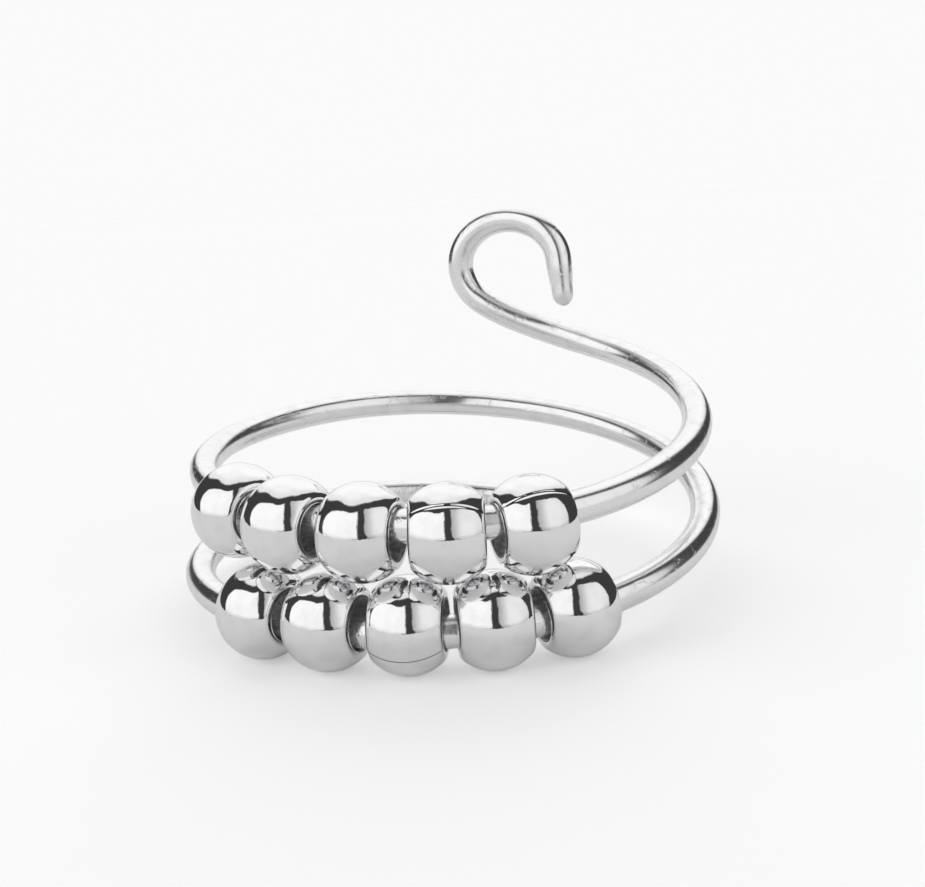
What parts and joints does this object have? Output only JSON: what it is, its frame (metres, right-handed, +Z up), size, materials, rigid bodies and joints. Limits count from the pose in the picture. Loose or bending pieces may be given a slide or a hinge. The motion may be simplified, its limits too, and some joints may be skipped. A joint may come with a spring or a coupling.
{
  "type": "spinner ring",
  "caption": "Finger ring of one round wire in two turns that ends in an open curl, with short round beads that spin on both turns at the front.",
  "frame": {"origin": "middle of the finger hole, on the surface that the ring rests on", "axes": "+Z up along the finger, towards the curl; -Y to the front, where the beads are; +X to the right as seen from the front"},
  "size_m": [0.0191, 0.0198, 0.013],
  "materials": {
    "wire_silver": "polished silver wire",
    "bead_silver": "mirror-polished silver"
  },
  "bodies": {
    "wire": {"wire": "wire_silver"},
    "bead_upper_1": {"bead_upper_1": "bead_silver"},
    "bead_upper_2": {"bead_upper_2": "bead_silver"},
    "bead_upper_3": {"bead_upper_3": "bead_silver"},
    "bead_upper_4": {"bead_upper_4": "bead_silver"},
    "bead_upper_5": {"bead_upper_5": "bead_silver"},
    "bead_lower_1": {"bead_lower_1": "bead_silver"},
    "bead_lower_2": {"bead_lower_2": "bead_silver"},
    "bead_lower_3": {"bead_lower_3": "bead_silver"},
    "bead_lower_4": {"bead_lower_4": "bead_silver"},
    "bead_lower_5": {"bead_lower_5": "bead_silver"}
  },
  "joints": [
    {"name": "upper_bead_1_spin", "type": "hinge", "parent": "wire", "child": "bead_upper_1", "pos_m": [-0.00662, -0.00564, 0.00446], "axis": [0.6572, -0.7528, -0.0374], "continuous": true},
    {"name": "upper_bead_2_spin", "type": "hinge", "parent": "wire", "child": "bead_upper_2", "pos_m": [-0.00482, -0.00739, 0.00438], "axis": [0.8152, -0.5785, -0.0273], "continuous": true},
    {"name": "upper_bead_3_spin", "type": "hinge", "parent": "wire", "child": "bead_upper_3", "pos_m": [-0.00257, -0.0085, 0.00432], "axis": [0.9524, -0.3038, -0.0251], "continuous": true},
    {"name": "upper_bead_4_spin", "type": "hinge", "parent": "wire", "child": "bead_upper_4", "pos_m": [-0.00009, -0.00891, 0.00427], "axis": [0.9998, -0.0143, -0.0121], "continuous": true},
    {"name": "upper_bead_5_spin", "type": "hinge", "parent": "wire", "child": "bead_upper_5", "pos_m": [0.0024, -0.00858, 0.00429], "axis": [0.9612, 0.2736, 0.0355], "continuous": true},
    {"name": "lower_bead_1_spin", "type": "hinge", "parent": "wire", "child": "bead_lower_1", "pos_m": [-0.00594, -0.00677, 0.0015], "axis": [0.7989, -0.6015, 0.0005], "continuous": true},
    {"name": "lower_bead_2_spin", "type": "hinge", "parent": "wire", "child": "bead_lower_2", "pos_m": [-0.00381, -0.0081, 0.0015], "axis": [0.9133, -0.4073, 0.004], "continuous": true},
    {"name": "lower_bead_3_spin", "type": "hinge", "parent": "wire", "child": "bead_lower_3", "pos_m": [-0.00139, -0.00878, 0.0015], "axis": [0.9913, -0.1315, -0.004], "continuous": true},
    {"name": "lower_bead_4_spin", "type": "hinge", "parent": "wire", "child": "bead_lower_4", "pos_m": [0.00112, -0.00876, 0.0015], "axis": [0.997, 0.0744, 0.0195], "continuous": true},
    {"name": "lower_bead_5_spin", "type": "hinge", "parent": "wire", "child": "bead_lower_5", "pos_m": [0.00354, -0.00808, 0.0015], "axis": [0.9414, 0.3298, 0.0713], "continuous": true}
  ]
}
